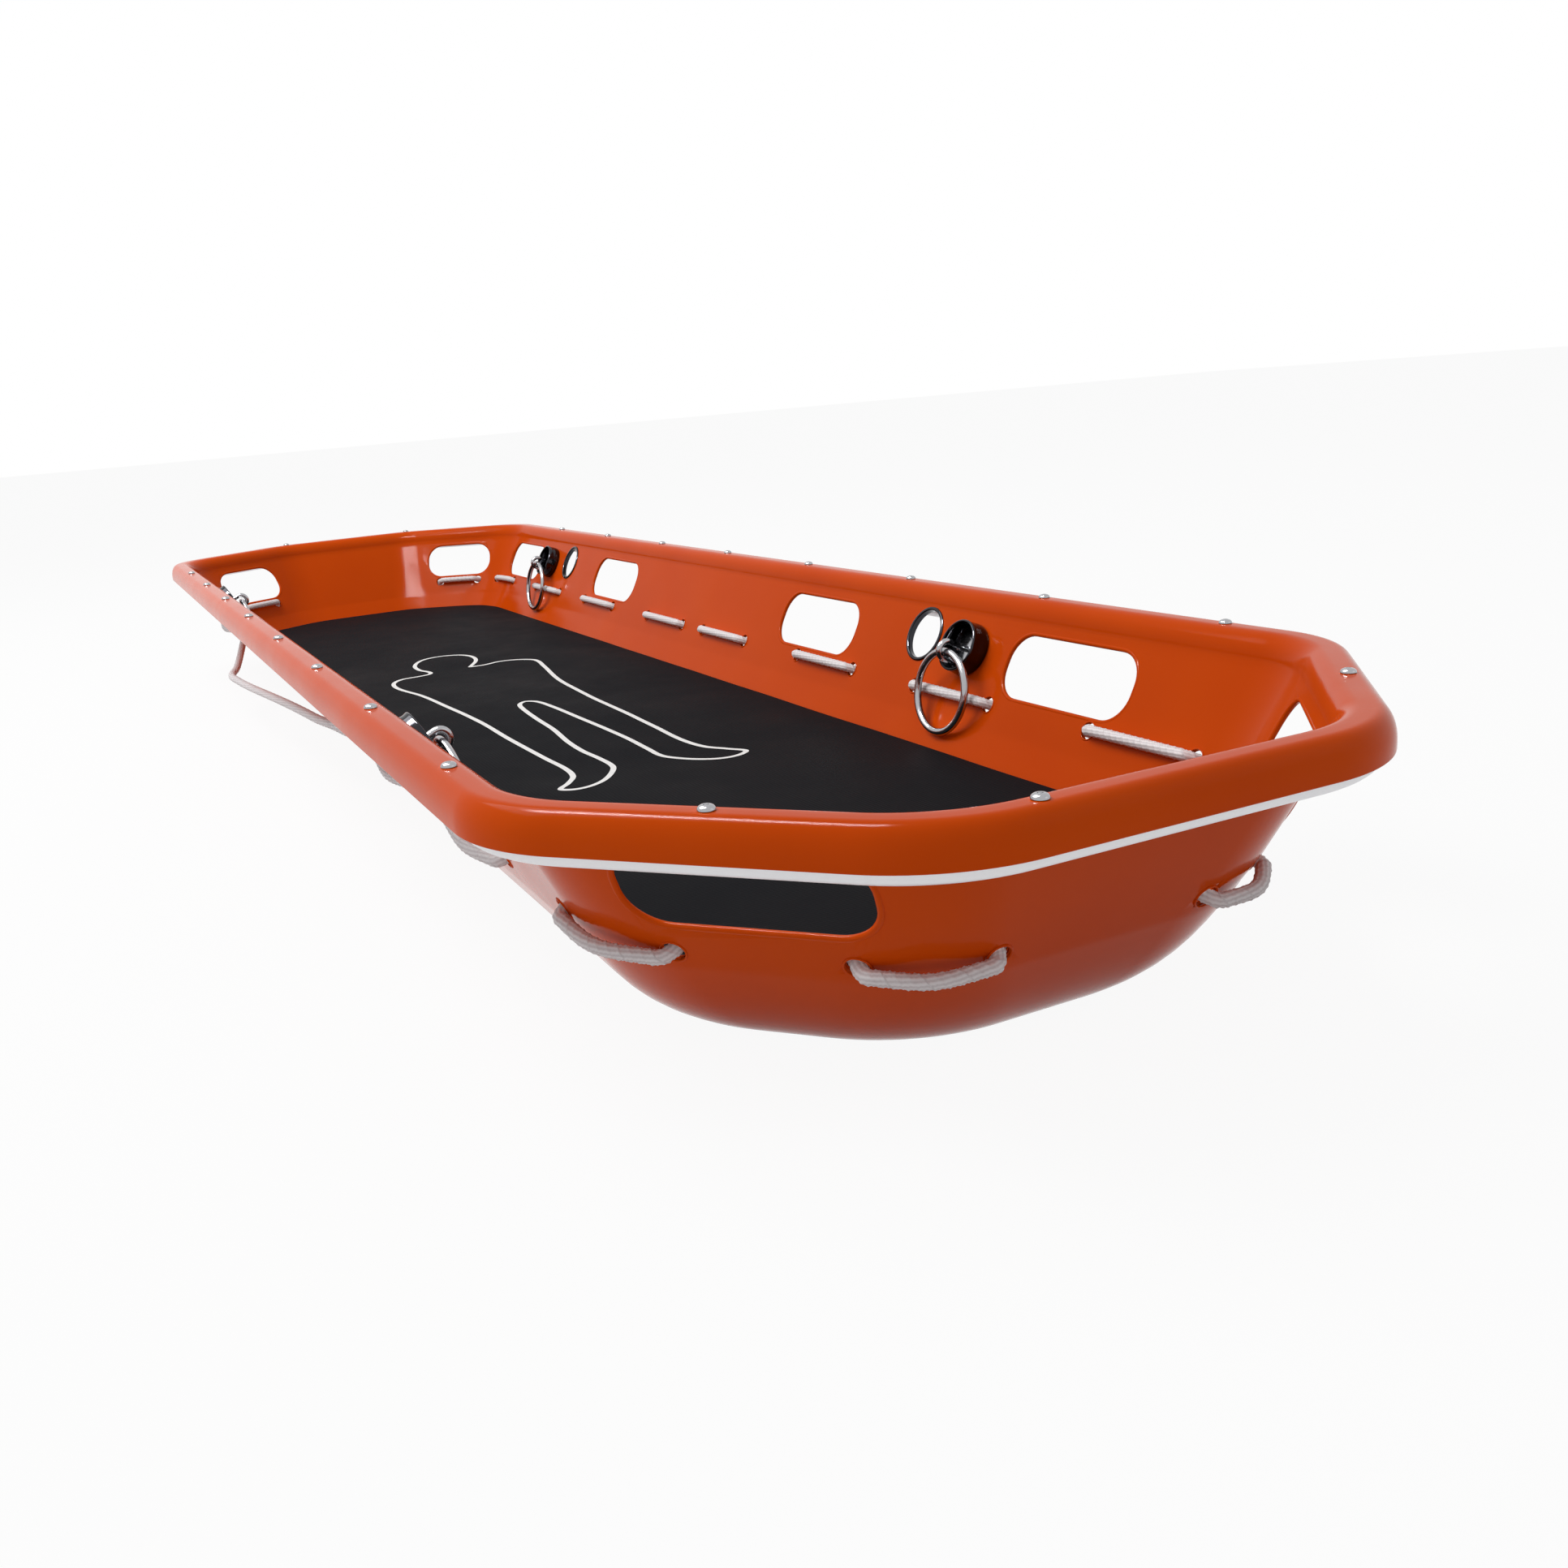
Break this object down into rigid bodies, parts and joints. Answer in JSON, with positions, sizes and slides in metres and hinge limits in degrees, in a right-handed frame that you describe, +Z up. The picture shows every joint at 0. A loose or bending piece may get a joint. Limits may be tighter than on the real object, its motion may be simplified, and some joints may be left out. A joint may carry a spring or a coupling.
{
  "type": "basket stretcher",
  "caption": "Rigid rescue basket stretcher: moulded tray with rolled lip on a tube frame, laced grab rope, mattress, hand slots and swinging lifting rings.",
  "frame": {"origin": "middle of the tray's flat bottom, on the surface that it stands on", "axes": "+X along the stretcher towards the foot end, +Y across it towards its right side, +Z up"},
  "size_m": [2.18, 0.63, 0.1883],
  "materials": {
    "orange_polyethylene": "glossy moulded orange polyethylene",
    "aluminium_tube": "drawn aluminium tube, satin",
    "stainless_steel": "polished stainless steel",
    "dark_chrome": "dark plated steel",
    "white_rope": "three-strand laid rope, matt",
    "black_mattress_cover": "coated black fabric, slight sheen"
  },
  "bodies": {
    "basket": {"tray_shell": "orange_polyethylene", "frame_tube_foot": "aluminium_tube", "frame_tube_head": "aluminium_tube", "frame_splice_left": "aluminium_tube", "frame_splice_right": "aluminium_tube", "grab_rope": "white_rope", "rope_knot": "white_rope", "mattress": "black_mattress_cover", "eyelet_foot_left": "stainless_steel", "ring_cup_foot_left": "dark_chrome", "ring_eye_foot_left": "stainless_steel", "ring_backing_plate_foot_left": "stainless_steel", "ring_rivet_foot_left_a": "stainless_steel", "ring_rivet_foot_left_b": "stainless_steel", "eyelet_foot_right": "stainless_steel", "ring_cup_foot_right": "dark_chrome", "ring_eye_foot_right": "stainless_steel", "ring_backing_plate_foot_right": "stainless_steel", "ring_rivet_foot_right_a": "stainless_steel", "ring_rivet_foot_right_b": "stainless_steel", "eyelet_head_left": "stainless_steel", "ring_cup_head_left": "dark_chrome", "ring_eye_head_left": "stainless_steel", "ring_backing_plate_head_left": "stainless_steel", "ring_rivet_head_left_a": "stainless_steel", "ring_rivet_head_left_b": "stainless_steel", "eyelet_head_right": "stainless_steel", "ring_cup_head_right": "dark_chrome", "ring_eye_head_right": "stainless_steel", "ring_backing_plate_head_right": "stainless_steel", "ring_rivet_head_right_a": "stainless_steel", "ring_rivet_head_right_b": "stainless_steel", "rim_rivet_left_1": "stainless_steel", "rim_rivet_left_2": "stainless_steel", "rim_rivet_left_3": "stainless_steel", "rim_rivet_left_4": "stainless_steel", "rim_rivet_left_5": "stainless_steel", "rim_rivet_left_6": "stainless_steel", "rim_rivet_left_7": "stainless_steel", "rim_rivet_left_8": "stainless_steel", "rim_rivet_right_1": "stainless_steel", "rim_rivet_right_2": "stainless_steel", "rim_rivet_right_3": "stainless_steel", "rim_rivet_right_4": "stainless_steel", "rim_rivet_right_5": "stainless_steel", "rim_rivet_right_6": "stainless_steel", "rim_rivet_right_7": "stainless_steel", "rim_rivet_right_8": "stainless_steel", "rim_rivet_foot_1": "stainless_steel", "rim_rivet_foot_2": "stainless_steel", "rim_rivet_foot_3": "stainless_steel", "rim_rivet_head_1": "stainless_steel", "rim_rivet_head_2": "stainless_steel"},
    "ring_foot_left": {"lifting_ring_foot_left": "stainless_steel"},
    "ring_foot_right": {"lifting_ring_foot_right": "stainless_steel"},
    "ring_head_left": {"lifting_ring_head_left": "stainless_steel"},
    "ring_head_right": {"lifting_ring_head_right": "stainless_steel"}
  },
  "joints": [
    {"name": "ring_swing_foot_left", "type": "hinge", "parent": "basket", "child": "ring_foot_left", "pos_m": [0.518, -0.23773, 0.13762], "axis": [1, 0, 0], "range_deg": [0, 160]},
    {"name": "ring_swing_foot_right", "type": "hinge", "parent": "basket", "child": "ring_foot_right", "pos_m": [0.518, 0.23773, 0.13762], "axis": [-1, 0, 0], "range_deg": [0, 160]},
    {"name": "ring_swing_head_left", "type": "hinge", "parent": "basket", "child": "ring_head_left", "pos_m": [-0.682, -0.23773, 0.13762], "axis": [1, 0, 0], "range_deg": [0, 160]},
    {"name": "ring_swing_head_right", "type": "hinge", "parent": "basket", "child": "ring_head_right", "pos_m": [-0.682, 0.23773, 0.13762], "axis": [-1, 0, 0], "range_deg": [0, 160]}
  ]
}
